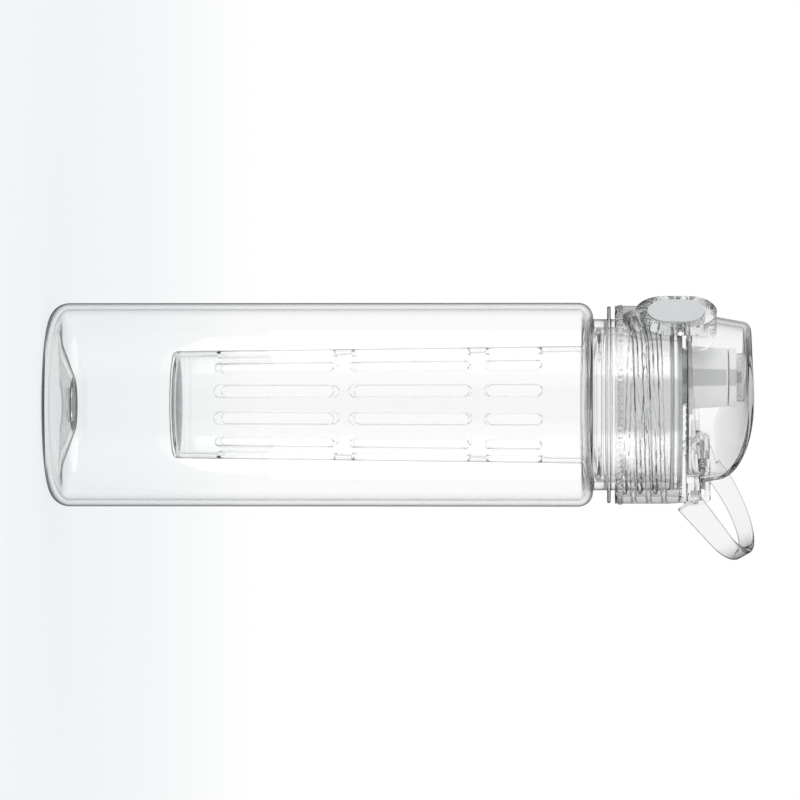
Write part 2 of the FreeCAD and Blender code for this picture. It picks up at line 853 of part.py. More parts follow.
def coil_path(radius, pitch, turns, start_angle):
    """Quarter-turn biarcs of a helix about Z, turning clockwise and climbing from zero."""
    steps = round(turns * QUARTERS)
    turn_length = 2 * math.pi * radius
    points = []
    for step in range(steps + 1):
        angle = start_angle - 2 * math.pi * step / QUARTERS
        point = FreeCAD.Vector(radius * math.cos(angle), radius * math.sin(angle), pitch * step / QUARTERS)
        heading = FreeCAD.Vector(math.sin(angle), -math.cos(angle), pitch / turn_length).normalize()
        points.append((point, heading))
    edges = []
    for (start, heading), (end, arrival) in zip(points, points[1:]):
        edges += biarc(start, heading, end, arrival)
    return edges, points


def wire_tube(name, edges, wire):
    """A round wire swept along a path, with its least gap to itself printed."""
    path = Part.Wire(edges)
    start = edges[0].valueAt(edges[0].FirstParameter)
    heading = edges[0].tangentAt(edges[0].FirstParameter)
    section = Part.Wire([Part.Circle(start, heading, wire / 2).toShape()])
    tube = doc.addObject("Part::Feature", name)
    tube.Shape = path.makePipeShell([section], True, False)
    samples = path.discretize(Distance=wire / 2)
    apart = round(QUARTERS * math.pi)
    gap = min(
        (first - second).Length - wire
        for index, first in enumerate(samples)
        for second in samples[index + apart:]
    )
    print(f"{name}: least gap to itself {gap:.2f} mm")
    return tube


def make_hinge_spring():
    """Torsion spring round the hinge pin, with one leg under the cover and one on the cap."""
    wire = size("hinge_spring_wire").number
    radius = (size("hinge_pin_radius") + size("hinge_spring_gap_to_pin")).number + wire / 2
    pitch = size("hinge_spring_pitch").number
    turns = size("hinge_spring_turns").number
    leg = size("hinge_spring_leg").number
    edges, points = coil_path(radius, pitch, turns, math.pi / 2)
    (first, heading), (last, arrival) = points[0], points[-1]
    tail = Part.LineSegment(first - heading * leg, first).toShape()
    tip = Part.LineSegment(last, last + arrival * leg).toShape()
    spring = wire_tube("hinge_spring", [tail] + edges + [tip], wire)
    half = pitch * turns / 2
    lying = FreeCAD.Rotation(FreeCAD.Vector(0, 1, 0), FreeCAD.Vector(0, 0, 1), FreeCAD.Vector(1, 0, 0), "ZXY")
    seat = FreeCAD.Vector(-half, hinge_reach.number, hinge_height.number)
    spring.Placement = FreeCAD.Placement(seat, lying)
    return spring


def make_latch_spring():
    """Small compression spring between the bezel's floor and the lower half of the button."""
    wire = size("latch_spring_wire").number
    face = (bezel_face + size("button_proud") - size("button_thickness")).number
    floor = bezel_floor.number
    turns = size("latch_spring_turns").number
    slack = size("latch_spring_slack").number
    pitch = (face - floor - wire - 2 * slack) / turns
    edges, _ = coil_path(size("latch_spring_radius").number, pitch, turns, math.pi / 2)
    spring = wire_tube("latch_spring", edges, wire)
    height = (latch_height - size("latch_spring_drop")).number
    outward = FreeCAD.Rotation(FreeCAD.Vector(1, 0, 0), 90)
    spring.Placement = FreeCAD.Placement(FreeCAD.Vector(0, -floor - slack - wire / 2, height), outward)
    return spring


def loop_plan():
    """Plan of the carry loop: two legs drawn together to a round tip."""
    thickness = size("loop_thickness")
    leg = size("loop_leg_length")
    start = -size("loop_root_width") * HALF

    def side(inset):
        root_half = loop_root_half - inset
        tip_half = loop_tip_half - inset
        rise = size("loop_length") - inset - leg
        radius = (tip_half * tip_half + rise * rise) / (rise * 2)
        return root_half, tip_half, leg + rise, radius

    root_half, tip_half, tip, radius = side(ZERO)
    inner_root, inner_half, inner_tip, inner_radius = side(thickness)
    return [
        (root_half, start),
        (tip_half, leg),
        (ZERO, tip, radius, 1),
        (-tip_half, leg, radius, 1),
        (-root_half, start),
        (-inner_root, start),
        (-inner_half, leg),
        (ZERO, inner_tip, inner_radius, -1),
        (inner_half, leg, inner_radius, -1),
        (inner_root, start),
    ]


def make_carry_loop():
    """Strap loop at the back of the cap, wide at its roots, with tabs that plug into the knuckles."""
    root_half = size("loop_root_width") * HALF
    tip_half = size("loop_tip_width") * HALF
    length = size("loop_length") + overrun
    relief = size("loop_root_relief")
    setback = size("loop_root_setback")
    side = [
        (setback, -root_half),
        (length, -tip_half),
        (length, tip_half),
        (-setback * 2, root_half),
        (-setback * 2, relief),
        (setback, relief),
    ]
    plan = padded("loop_plan", "XY_Plane", [loop_plan()], size("loop_root_width") + overrun)
    profile = padded("loop_side", "YZ_Plane", [side], loop_root_half * 2 + overrun)
    for form in (plan, profile):
        turn(form, (1, 0, 0), size("loop_tilt"))
        place(form, y=hinge_reach, z=loop_root_height)
    strap = shared("loop_strap", [plan, profile])
    tabs = both_sides("tab", loop_tab_maker(ZERO), *tab_span())
    return fused("carry_loop", [strap] + tabs)


def write_parts(parts):
    doc.recompute()
    failed = [item.Name for item in doc.Objects if {"Invalid", "Error"} & set(item.State)]
    failed += [part.Name for part in parts if part.Shape.isNull() or not part.Shape.isValid()]
    if failed:
        raise RuntimeError(f"failed: {failed}")
    os.makedirs("parts", exist_ok=True)
    for part in parts:
        part.Label = part.Name
        part.Shape.exportStep(f"parts/{part.Label}.step")
        print(part.Label, len(part.Shape.Solids), round(part.Shape.Volume, 1))


write_parts(
    [make_bottle_body(), make_infuser_basket()]
    + make_gaskets()
    + [make_cap_collar(), make_drinking_spout(), make_flip_cover(), make_spout_seal()]
    + [make_latch_button(), make_latch_spring(), make_hinge_spring()]
    + make_pins()
    + [make_carry_loop()]
)
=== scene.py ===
import math

import bmesh
import bpy
from mathutils import Matrix, Vector


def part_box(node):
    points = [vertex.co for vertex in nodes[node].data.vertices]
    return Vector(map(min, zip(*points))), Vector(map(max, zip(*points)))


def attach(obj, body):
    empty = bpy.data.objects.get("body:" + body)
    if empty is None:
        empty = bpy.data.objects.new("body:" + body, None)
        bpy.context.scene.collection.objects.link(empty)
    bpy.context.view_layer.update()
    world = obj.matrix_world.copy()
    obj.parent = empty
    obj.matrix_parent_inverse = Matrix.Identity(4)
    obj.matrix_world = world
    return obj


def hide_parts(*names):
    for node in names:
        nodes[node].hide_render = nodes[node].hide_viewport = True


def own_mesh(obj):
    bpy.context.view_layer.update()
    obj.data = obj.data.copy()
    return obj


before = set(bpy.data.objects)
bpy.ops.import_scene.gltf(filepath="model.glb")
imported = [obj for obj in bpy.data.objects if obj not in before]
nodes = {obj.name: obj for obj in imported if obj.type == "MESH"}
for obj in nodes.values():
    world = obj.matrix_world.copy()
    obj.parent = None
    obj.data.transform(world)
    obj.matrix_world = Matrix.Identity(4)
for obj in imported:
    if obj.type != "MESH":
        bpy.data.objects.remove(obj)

# Looks of the fruit infuser bottle. It stands along Z, with the latch on -Y and the hinge and loop on +Y.

MM = 0.001
scene = bpy.context.scene
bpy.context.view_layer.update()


# Sizes that several pieces share, in millimetres

def extent(node, axis):
    """Lowest and highest place of a CAD node along x, y or z, to the micrometre."""
    return [round(corner["xyz".index(axis)] / MM, 3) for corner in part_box(node)]


BODY_R = extent("bottle_body", "x")[1]
MOUTH_TOP = extent("bottle_body", "z")[1]
NECK_R = extent("infuser_gasket", "x")[1]
NECK_WALL = 2.6
BODY_WALL = 2.0
SHOULDER = 195.0
BASKET_LOW = extent("infuser_basket", "z")[0]
FLANGE_R = extent("cap_gasket", "x")[1]
FLANGE_LOW = extent("infuser_gasket", "z")[1]
FLANGE_TOP, DECK_LOW = extent("cap_gasket", "z")
DECK_THICKNESS = 1.9
DECK_TOP = DECK_LOW + DECK_THICKNESS
SKIRT_R = extent("cap_collar", "x")[1]
SKIRT_LOW = extent("cap_collar", "z")[0]
SKIRT_WALL = 2.4
SPOUT_Y = sum(extent("drinking_spout", "y")) / 2
SEAL_TOP = extent("spout_seal", "z")[1]
SEAL_STEM = 1.8
HINGE_Y = sum(extent("hinge_pin", "y")) / 2
HINGE_Z = sum(extent("hinge_pin", "z")) / 2

THREAD_PITCH = 5.4
THREAD_DEPTH = 1.5
THREAD_CREST = 0.45
THREAD_FLANK = 0.55
THREAD_FADE = 0.06  # share of a turn over which the thread's ends run out
THREAD_ROW = 0.25

SEAT = 0.03  # air left between a clear piece and what it bears on, so that both faces show
NEAR = 0.005  # how close a vertex has to be to a level to count as lying on it


# Shader parts

def new_material(name):
    """A material with its node tree and its principled shader."""
    material = bpy.data.materials.new(name)
    material.use_nodes = True
    tree = material.node_tree
    return material, tree, tree.nodes["Principled BSDF"]


def noise(tree, scale, detail=2.0):
    """A noise texture in object coordinates, whose scale counts features per metre."""
    place = tree.nodes.new("ShaderNodeTexCoord")
    texture = tree.nodes.new("ShaderNodeTexNoise")
    texture.inputs["Scale"].default_value = scale
    texture.inputs["Detail"].default_value = detail
    tree.links.new(place.outputs["Object"], texture.inputs["Vector"])
    return texture.outputs["Fac"]


def spread(tree, value, low, high):
    """A 0 to 1 value spread between two limits."""
    span = tree.nodes.new("ShaderNodeMapRange")
    span.inputs["To Min"].default_value = low
    span.inputs["To Max"].default_value = high
    tree.links.new(value, span.inputs["Value"])
    return span.outputs["Result"]


def by_height(tree, low, high, below, above):
    """A value that goes from one level to another between two heights in millimetres."""
    place = tree.nodes.new("ShaderNodeTexCoord")
    parts = tree.nodes.new("ShaderNodeSeparateXYZ")
    tree.links.new(place.outputs["Object"], parts.inputs[0])
    span = tree.nodes.new("ShaderNodeMapRange")
    span.inputs["From Min"].default_value = low * MM
    span.inputs["From Max"].default_value = high * MM
    span.inputs["To Min"].default_value = below
    span.inputs["To Max"].default_value = above
    tree.links.new(parts.outputs["Z"], span.inputs["Value"])
    return span.outputs["Result"]


def facing(tree):
    """How far the surface turns away from the eye, from 0 to 1."""
    weight = tree.nodes.new("ShaderNodeLayerWeight")
    weight.inputs["Blend"].default_value = 0.5
    return weight.outputs["Facing"]


def ramp(tree, value, stops):
    """A colour ramp through (position, (red, green, blue)) stops."""
    colours = tree.nodes.new("ShaderNodeValToRGB")
    band = colours.color_ramp
    for element, (position, colour) in zip(band.elements, (stops[0], stops[-1])):
        element.position = position
        element.color = (*colour, 1)
    for position, colour in stops[1:-1]:
        band.elements.new(position).color = (*colour, 1)
    tree.links.new(value, colours.inputs["Fac"])
    return colours.outputs["Color"]


def bump(tree, shader, height, strength, distance):
    """Relief of the shader's surface from a height, whose distance is in metres."""
    relief = tree.nodes.new("ShaderNodeBump")
    relief.inputs["Strength"].default_value = strength
    relief.inputs["Distance"].default_value = distance
    tree.links.new(height, relief.inputs["Height"])
    tree.links.new(relief.outputs["Normal"], shader.inputs["Normal"])


COOLNESS = (0.0, 0.012, 0.02)


def greys(*stops):
    """Colour stops of a cool grey from (position, level) pairs."""
    return [(place, tuple(level + cool * (1 - level) for cool in COOLNESS)) for place, level in stops]


# Materials

def clear_plastic(name, stops, depths, ior=1.5, wave=0.04):
    """Clear moulded plastic whose colour holds painted shade: greyer where the surface turns away and, in
    some, a darker band where it faces the eye as a painted dark reflection; with a faint moulded waviness.

    The coat has no gloss of its own: its tint only deepens along slanting walls, partly as absorption and
    partly as painted shade at the edges.
    """
    material, tree, shader = new_material(name)
    turned = facing(tree)
    # painted shade: the base colour darkens towards the edges, and in some a band where the surface faces the
    # eye darkens as a painted dark reflection
    tree.links.new(ramp(tree, turned, stops), shader.inputs["Base Color"])
    tree.links.new(ramp(tree, turned, depths), shader.inputs["Coat Tint"])
    tree.links.new(spread(tree, noise(tree, scale=40), low=0.0, high=0.02), shader.inputs["Roughness"])
    shader.inputs["IOR"].default_value = ior
    shader.inputs["Transmission Weight"].default_value = 1.0
    shader.inputs["Coat Weight"].default_value = 1.0
    shader.inputs["Coat IOR"].default_value = 1.0
    bump(tree, shader, noise(tree, scale=60, detail=1.0), strength=wave, distance=0.0004)
    return material


def fine_grain(tree, shader):
    """The fine grain of a moulded grey part."""
    bump(tree, shader, noise(tree, scale=900), strength=0.12, distance=0.0001)


def grained(name, dark, light, roughness, through=0.0):
    """Opaque or milky plastic of slightly uneven colour."""
    material, tree, shader = new_material(name)
    colour = ramp(tree, noise(tree, scale=70, detail=3.0), [(0.3, dark), (0.7, light)])
    tree.links.new(colour, shader.inputs["Base Color"])
    tree.links.new(spread(tree, noise(tree, scale=220), *roughness), shader.inputs["Roughness"])
    shader.inputs["Transmission Weight"].default_value = through
    fine_grain(tree, shader)
    return material


def frosted(name, stops, roughness, foot=None):
    """Milky plastic that lets a little light through, with a painted dark reflection as a darker band where
    it faces the eye.

    Below its foot, where a height is given for it, it lets most of the light through.
    """
    through, foot_through, foot_fade = 0.1, 0.9, 0.4
    material, tree, shader = new_material(name)
    # painted dark reflection: the base colour is darker where the surface faces the eye
    tree.links.new(ramp(tree, facing(tree), stops), shader.inputs["Base Color"])
    tree.links.new(spread(tree, noise(tree, scale=220), *roughness), shader.inputs["Roughness"])
    shader.inputs["IOR"].default_value = 1.2
    shader.inputs["Transmission Weight"].default_value = through
    if foot:
        clearer = by_height(tree, foot, foot + foot_fade, foot_through, through)
        tree.links.new(clearer, shader.inputs["Transmission Weight"])
    fine_grain(tree, shader)
    return material


def drawn_steel(name):
    """Bright wire with faint drawing marks."""
    material, tree, shader = new_material(name)
    colour = ramp(tree, noise(tree, scale=300), [(0.3, (0.55, 0.56, 0.58)), (0.7, (0.74, 0.75, 0.77))])
    tree.links.new(colour, shader.inputs["Base Color"])
    polish = spread(tree, noise(tree, scale=800, detail=3.0), low=0.18, high=0.34)
    tree.links.new(polish, shader.inputs["Roughness"])
    shader.inputs["Metallic"].default_value = 1.0
    bump(tree, shader, noise(tree, scale=2500), strength=0.05, distance=0.00005)
    return material


# Colours of the plastics by how far the surface turns away, which paint light and shade: stops paint shade
# towards the edges and, in some, a darker band where the surface faces the eye as a painted dark reflection;
# depths deepen the coat's tint along slanting walls, partly absorption and partly painted edge shade

BODY_STOPS = greys(
    (0.0, 0.988), (0.03, 0.988), (0.05, 1.0), (0.32, 1.0), (0.36, 0.988), (0.7, 0.975), (1.0, 0.8))
BODY_DEPTHS = greys((0.0, 0.995), (0.6, 0.992), (0.76, 0.96), (0.86, 0.88), (1.0, 0.82))
SHOULDER_STOPS = greys((0.0, 1.0), (0.7, 0.99), (1.0, 0.96))
SHOULDER_DEPTHS = greys((0.0, 0.997), (0.6, 0.994), (0.76, 0.98), (0.86, 0.95), (1.0, 0.92))
NECK_STOPS = greys((0.0, 0.965), (0.7, 0.95), (1.0, 0.8))
BASKET_DEPTHS = greys((0.0, 0.997), (0.6, 0.994), (0.76, 0.97), (0.86, 0.93), (1.0, 0.9))
COLLAR_STOPS = greys((0.0, 0.84), (0.032, 0.84), (0.042, 0.995), (0.5, 0.985), (0.8, 0.96), (1.0, 0.9))
COLLAR_DEPTHS = greys((0.0, 0.998), (0.3, 0.992), (0.6, 0.93), (1.0, 0.94))
RIM_STOPS = greys((0.0, 0.97), (0.5, 0.97), (0.8, 0.95), (1.0, 0.9))
RIM_DEPTHS = greys((0.0, 0.995), (0.6, 0.985), (1.0, 0.96))
BEZEL_STOPS = greys((0.0, 0.9), (0.5, 0.93), (0.8, 0.92), (1.0, 0.86))
COVER_STOPS = greys((0.0, 0.99), (0.5, 0.985), (0.75, 0.95), (1.0, 0.85))
COVER_DEPTHS = greys((0.0, 0.995), (0.5, 0.985), (0.75, 0.95), (1.0, 0.92))
LOOP_DEPTHS = greys((0.0, 0.965), (0.35, 0.955), (0.5, 0.87), (0.8, 0.83), (1.0, 0.6))
# The spout's and seal's dark band where they face the eye is a painted dark reflection
SPOUT_STOPS = greys((0.0, 0.62), (0.035, 0.62), (0.05, 0.88), (1.0, 0.86))
SEAL_STOPS = greys((0.0, 0.62), (0.035, 0.62), (0.05, 0.9), (1.0, 0.88))
CAP_WAVE = 0.01

# The cap's and basket's clear walls stand close together, and a low refraction keeps them from showing black

body_clear = clear_plastic("body_clear", BODY_STOPS, BODY_DEPTHS)
shoulder_clear = clear_plastic("shoulder_clear", SHOULDER_STOPS, SHOULDER_DEPTHS)
neck_clear = clear_plastic("neck_clear", NECK_STOPS, BODY_DEPTHS)
basket_clear = clear_plastic("basket_clear", BODY_STOPS, BASKET_DEPTHS, ior=1.12)
cap_clear = clear_plastic("cap_clear", COLLAR_STOPS, COLLAR_DEPTHS, ior=1.1, wave=CAP_WAVE)
rim_clear = clear_plastic("rim_clear", RIM_STOPS, RIM_DEPTHS, ior=1.03, wave=CAP_WAVE)
bezel_clear = clear_plastic("bezel_clear", BEZEL_STOPS, RIM_DEPTHS, ior=1.2, wave=CAP_WAVE)
cover_clear = clear_plastic("cover_clear", COVER_STOPS, COVER_DEPTHS, ior=1.05, wave=CAP_WAVE)
loop_clear = clear_plastic("loop_clear", COVER_STOPS, LOOP_DEPTHS, ior=1.2)
spout_grey = frosted("spout_grey", SPOUT_STOPS, roughness=(0.3, 0.4), foot=DECK_TOP - 0.2)
seal_grey = frosted("seal_grey", SEAL_STOPS, roughness=(0.4, 0.5))
button_grey = grained("button_grey", (0.63, 0.65, 0.655), (0.68, 0.7, 0.705), roughness=(0.3, 0.42))
gasket_grey = grained(
    "gasket_grey", (0.80, 0.82, 0.83), (0.86, 0.88, 0.89), roughness=(0.4, 0.55), through=0.7)
steel = drawn_steel("drawn_steel")

FINISHES = {
    "bottle_body": body_clear,
    "infuser_basket": basket_clear,
    "infuser_gasket": gasket_grey,
    "cap_gasket": gasket_grey,
    "cap_collar": cap_clear,
    "drinking_spout": spout_grey,
    "flip_cover": cover_clear,
    "spout_seal": seal_grey,
    "latch_button": button_grey,
    "latch_spring": steel,
    "hinge_spring": steel,
    "hinge_pin": steel,
    "latch_pin": steel,
    "carry_loop": loop_clear,
}
for name, material in FINISHES.items():
    nodes[name].data.materials.clear()
    nodes[name].data.materials.append(material)


# Shape tools

ARC_STEP = math.radians(11)


def soften(piece, width, segments):
    """Round a piece's sharp edges a little."""
    edge = piece.modifiers.new("soft_edges", "BEVEL")
    edge.width = width * MM
    edge.segments = segments
    edge.limit_method = "ANGLE"
    edge.angle_limit = math.radians(45)
    edge.harden_normals = True


def rounded(corners):
    """Outline through (radius, height, fillet) corners, with an arc at each corner that has a fillet."""
    points = []
    for index, (radius, height, fillet) in enumerate(corners):
        if not fillet:
            points.append((radius, height))
            continue
        here = Vector((radius, height))
        before = (Vector(corners[index - 1][:2]) - here).normalized()
        after = (Vector(corners[index + 1][:2]) - here).normalized()
        angle = before.angle(after)
        reach = fillet / math.tan(angle / 2)
        centre = here + (before + after).normalized() * (fillet / math.sin(angle / 2))
        first = here + before * reach - centre
        turn = first.angle_signed(here + after * reach - centre)
        steps = max(2, math.ceil(abs(turn) / ARC_STEP))
        for step in range(steps + 1):
            spoke = first.copy()
            spoke.rotate(Matrix.Rotation(-turn * step / steps, 2))
            points.append(tuple(centre + spoke))
    return points


def rows_between(radius, low, high, pitch):
    """Close-set outline points up a straight wall."""
    steps = max(1, round(abs(high - low) / pitch))
    return [(radius, low + (high - low) * step / steps) for step in range(steps + 1)]


def add_face(faces, ring):
    """Add the face of a ring of vertices, unless too few of them differ."""
    face = list(dict.fromkeys(ring))
    if len(face) > 2:
        faces.append(face)


def lathe(outline, segments, relief, closed=False):
    """Vertices and faces of an outline turned about Z. relief(angle, radius, height) moves points out."""
    verts, rows, faces = [], [], []
    for radius, height in outline:
        first = len(verts)
        if not radius:
            rows.append([first] * segments)
            verts.append((0, 0, height))
            continue
        rows.append(range(first, first + segments))
        for step in range(segments):
            angle = 2 * math.pi * step / segments
            reach = radius + relief(angle, radius, height)
            verts.append((reach * math.cos(angle), reach * math.sin(angle), height))
    for lower, upper in zip(rows, rows[1:] + rows[:closed]):
        for step in range(segments):
            after = (step + 1) % segments
            add_face(faces, (lower[step], lower[after], upper[after], upper[step]))
    return verts, faces


def thread(angle, height, start, turns):
    """How far a right-hand thread stands up, from 0 to 1, at a place on its wall."""
    share = angle / (2 * math.pi)
    place = (height - start) / THREAD_PITCH - share
    lap = round(place)
    along = share + lap
    if not 0 < along < turns:
        return 0.0
    away = abs(place - lap) * THREAD_PITCH
    lift = min(1.0, max(0.0, (THREAD_CREST + THREAD_FLANK - away) / THREAD_FLANK))
    fade = min(1.0, along / THREAD_FADE, (turns - along) / THREAD_FADE)
    return lift * lift * (3 - 2 * lift) * fade


def closed_mesh(name, verts, faces):
    """A mesh from millimetres, with its faces turned outwards."""
    mesh = bpy.data.meshes.new(name)
    mesh.from_pydata([Vector(vert) * MM for vert in verts], [], faces)
    form = bmesh.new()
    form.from_mesh(mesh)
    bmesh.ops.recalc_face_normals(form, faces=form.faces)
    form.to_mesh(mesh)
    form.free()
    return mesh


def eased_copy(node, rise):
    """A CAD node's mesh, where rise(x, y, z) lifts points by a few hundredths of a millimetre."""
    mesh = nodes[node].data.copy()
    for vert in mesh.vertices:
        vert.co.z += rise(*(vert.co / MM)) * MM
    return mesh


def welded(mesh):
    """The mesh with the vertices joined that lie in one place."""
    form = bmesh.new()
    form.from_mesh(mesh)
    bmesh.ops.remove_doubles(form, verts=form.verts, dist=1e-6)
    form.to_mesh(mesh)
    form.free()
    return mesh


def linked(name, data):
    """A new object in the scene, with a mesh, lamp or camera as its data."""
    item = bpy.data.objects.new(name, data)
    scene.collection.objects.link(item)
    return item


def joined(name, mesh, additions):
    """A closed mesh with other closed forms, given as (vertices, faces), joined to it."""
    base = linked(name + "_base", mesh)
    helpers = [linked(f"{name}_{index}", closed_mesh(f"{name}_{index}", *form))
               for index, form in enumerate(additions)]
    for helper in helpers:
        join = base.modifiers.new(helper.name, "BOOLEAN")
        join.operation = "UNION"
        join.solver = "EXACT"
        join.object = helper
    bpy.context.view_layer.update()
    whole = bpy.data.meshes.new_from_object(base.evaluated_get(bpy.context.evaluated_depsgraph_get()))
    for helper in helpers + [base]:
        bpy.data.objects.remove(helper)
    whole.name = name
    return whole


def finish_object(name, mesh, body, material, sharp=35):
    """A piece that rides on a body, smooth but for edges sharper than an angle. None keeps its normals."""
    mesh.materials.clear()
    mesh.materials.append(material)
    if sharp:
        mesh.shade_smooth()
        mesh.set_sharp_from_angle(angle=math.radians(sharp))
    piece = linked(name, mesh)
    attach(piece, body)
    return piece


def paint(mesh, material, chosen):
    """Give a further material to the faces whose centre, in millimetres, is chosen."""
    mesh.materials.append(material)
    for face in mesh.polygons:
        if chosen(*(face.center / MM)):
            face.material_index = len(mesh.materials) - 1


# Bottle

def bottle_outline():
    """Wall of the bottle, from the middle of the base up the outside and down the inside."""
    gate_r, gate_slope, gate_depth, gate_round = 5.9, 0.4, 1.6, 0.35
    pushup_r, pushup, pushup_round = 9.4, 6.5, 1.4
    foot_r, foot_round, heel_round, base = 26.4, 1.3, 6.9, 2.4
    ring_r, ring_low, ring_top = 35.2, SHOULDER + 5.0, SHOULDER + 6.3
    thread_low, thread_high = SHOULDER + 8.4, MOUTH_TOP - 1.3
    edge, nook, lip, shoulder_round = 0.5, 0.3, 0.6, 5.3
    inner_shoulder_round, inner_heel_round, inner_base_round = 3.3, 4.8, 2.2
    bore, rim = NECK_R - NECK_WALL, MOUTH_TOP - SEAT
    inside, ceiling = BODY_R - BODY_WALL, SHOULDER - BODY_WALL
    up_outside = [
        (0, pushup - gate_depth, 0),
        (gate_r, pushup - gate_depth, gate_round),
        (gate_r + gate_slope, pushup, nook),
        (pushup_r, pushup, pushup_round),
        (foot_r, 0, foot_round),
        (BODY_R, 0, heel_round),
        (BODY_R, SHOULDER, shoulder_round),
        (NECK_R, SHOULDER, edge),
        (NECK_R, ring_low, nook),
        (ring_r, ring_low, edge),
        (ring_r, ring_top, edge),
        (NECK_R, ring_top, nook),
        (NECK_R, thread_low, 0),
    ]
    down_inside = [
        (NECK_R, thread_high, 0),
        (NECK_R, rim, lip),
        (bore, rim, lip),
        (bore, ceiling, edge),
        (inside, ceiling, inner_shoulder_round),
        (inside, BODY_WALL, inner_heel_round),
        (foot_r, base, inner_base_round),
        (pushup_r, pushup + base, inner_base_round),
        (0, pushup + base, 0),
    ]
    threaded = rows_between(NECK_R, thread_low, thread_high, THREAD_ROW)[1:-1]
    return rounded(up_outside) + threaded + rounded(down_inside)


def make_bottle():
    """Blown bottle with its pushed-up base, gate mark, support ring and threaded neck in one clear shell."""
    start, turns, segments = SHOULDER + 10.6, 2.4, 224
    shoulder_low, neck_low, inner_r = SHOULDER - 6.0, SHOULDER + 0.2, BODY_R - BODY_WALL - 0.05

    def neck_thread(angle, radius, height):
        return THREAD_DEPTH * thread(angle, height, start, turns) if radius > NECK_R - SEAT else 0.0

    mesh = closed_mesh("bottle_shell", *lathe(bottle_outline(), segments, neck_thread))
    bottle = finish_object("bottle_shell", mesh, "bottle", body_clear, sharp=50)
    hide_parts("bottle_body")
    # The shoulder gets a copy of the body's plastic with less painted shade at its edges
    paint(mesh, shoulder_clear, lambda x, y, z: z > shoulder_low and math.hypot(x, y) < inner_r)
    paint(mesh, neck_clear, lambda x, y, z: z > neck_low)


# Basket

SECTORS = 12
COLUMNS = 4  # faces between a slot's edge and the next seam
SLOT_TURN = math.radians(12)
BASKET_R, BASKET_TOP_R, BASKET_WALL = 19.2, 21.1, 1.6
TUBE_TOP = SHOULDER - BODY_WALL


def slot_levels():
    """(height, half width of the slots) pairs up the tube: round ends and straight sides, row after row."""
    half, rise, gap, long, short = 2.3, 15.9, 5.4, 42.7, 20.3
    quarter, straight = 6, 6
    plain_foot, plain_head = 5.0, 2.5
    levels = [(BASKET_LOW + BASKET_WALL, 0.0), (BASKET_LOW + plain_foot, 0.0)]
    low = BASKET_LOW + rise
    for length in (long, long, short):
        turns = [math.pi / 2 * step / quarter for step in range(quarter + 1)]
        lower_end = [(half * (1 - math.cos(turn)), half * math.sin(turn)) for turn in turns]
        side = length - 2 * half
        levels += [(low + up, width) for up, width in lower_end]
        levels += [(low + half + side * step / straight, half) for step in range(1, straight)]
        levels += [(low + length - up, width) for up, width in reversed(lower_end)]
        low += length + gap
    return levels + [(TUBE_TOP - plain_head, 0.0)]


def basket_outlines(levels):
    """Outlines of (radius, height, half slot) points: below the tube, outside, collar, inside and bottom.

    The corners with a lead only set the slant of the wall beside them, and are left out.
    """
    floor, floor_round, step = 1.8, 1.0, 3.5
    collar_r, collar_wall = 27.65, 2.0
    soft, nook, flange_under, flange_edge, mouth = 0.8, 0.2, 0.3, 0.4, 0.5
    lean, foot_lean = 0.05, 0.06
    foot_lead, head_lead, inner_head_lead, floor_lead = 4.0, 2.0, 1.0, 6.0
    flange_low, flange_top = FLANGE_LOW + SEAT, FLANGE_TOP - SEAT
    inner_r, inner_top_r = BASKET_R - BASKET_WALL, BASKET_TOP_R - BASKET_WALL
    inner_collar_r = collar_r - collar_wall
    taper = (BASKET_TOP_R - BASKET_R) / (TUBE_TOP - BASKET_LOW)

    def plain(corners):
        return [(radius, height, 0.0) for radius, height in rounded(corners)]

    def tube(rows, wall):
        return [(BASKET_R + taper * (height - BASKET_LOW) - wall, height, width) for height, width in rows]

    below = plain([
        (0, BASKET_LOW, 0),
        (BASKET_R, BASKET_LOW, BASKET_WALL),
        (BASKET_R + foot_lean, BASKET_LOW + foot_lead, 0),
    ])[:-2]
    collar = plain([
        (BASKET_TOP_R - lean, TUBE_TOP - head_lead, 0),
        (BASKET_TOP_R, TUBE_TOP, soft),
        (collar_r, TUBE_TOP + step, soft),
        (collar_r, flange_low, nook),
        (FLANGE_R, flange_low, flange_under),
        (FLANGE_R, flange_top, flange_edge),
        (inner_collar_r, flange_top, mouth),
        (inner_collar_r, TUBE_TOP + step + BASKET_WALL, soft),
        (inner_top_r, TUBE_TOP + BASKET_WALL, soft),
        (inner_top_r - lean, TUBE_TOP - inner_head_lead, 0),
    ])[1:-1]
    bottom = plain([
        (inner_r + lean, BASKET_LOW + floor_lead, 0),
        (inner_r, BASKET_LOW + floor, floor_round),
        (0, BASKET_LOW + floor, 0),
    ])[1:]
    return below, tube(levels, 0), collar, tube(reversed(levels[1:]), BASKET_WALL), bottom


def basket_ring(verts, radius, height, half_slot):
    """Add the vertices of one level. Gives a row for each sector: seam, both edges of its slot, next seam."""
    first = len(verts)
    if not radius:
        verts.append((0, 0, height))
        return [[first] * (2 * COLUMNS + 2)] * SECTORS
    half = math.pi / SECTORS
    opening = math.asin(half_slot / radius)
    parted = 1 if half_slot else 0
    stride = 2 * COLUMNS + parted
    ring = []
    for sector in range(SECTORS):
        middle = 2 * half * sector + SLOT_TURN
        away = [opening + (half - opening) * step / COLUMNS for step in range(COLUMNS + 1)]
        angles = [middle - angle for angle in reversed(away)]
        angles += [middle + angle for angle in away[1 - parted:-1]]
        verts += [(radius * math.cos(angle), radius * math.sin(angle), height) for angle in angles]
        start = first + stride * sector
        seam = first + stride * ((sector + 1) % SECTORS)
        left = range(start, start + COLUMNS + 1)
        right = range(start + COLUMNS + parted, start + stride)
        ring.append([*left, *right, seam])
    return ring


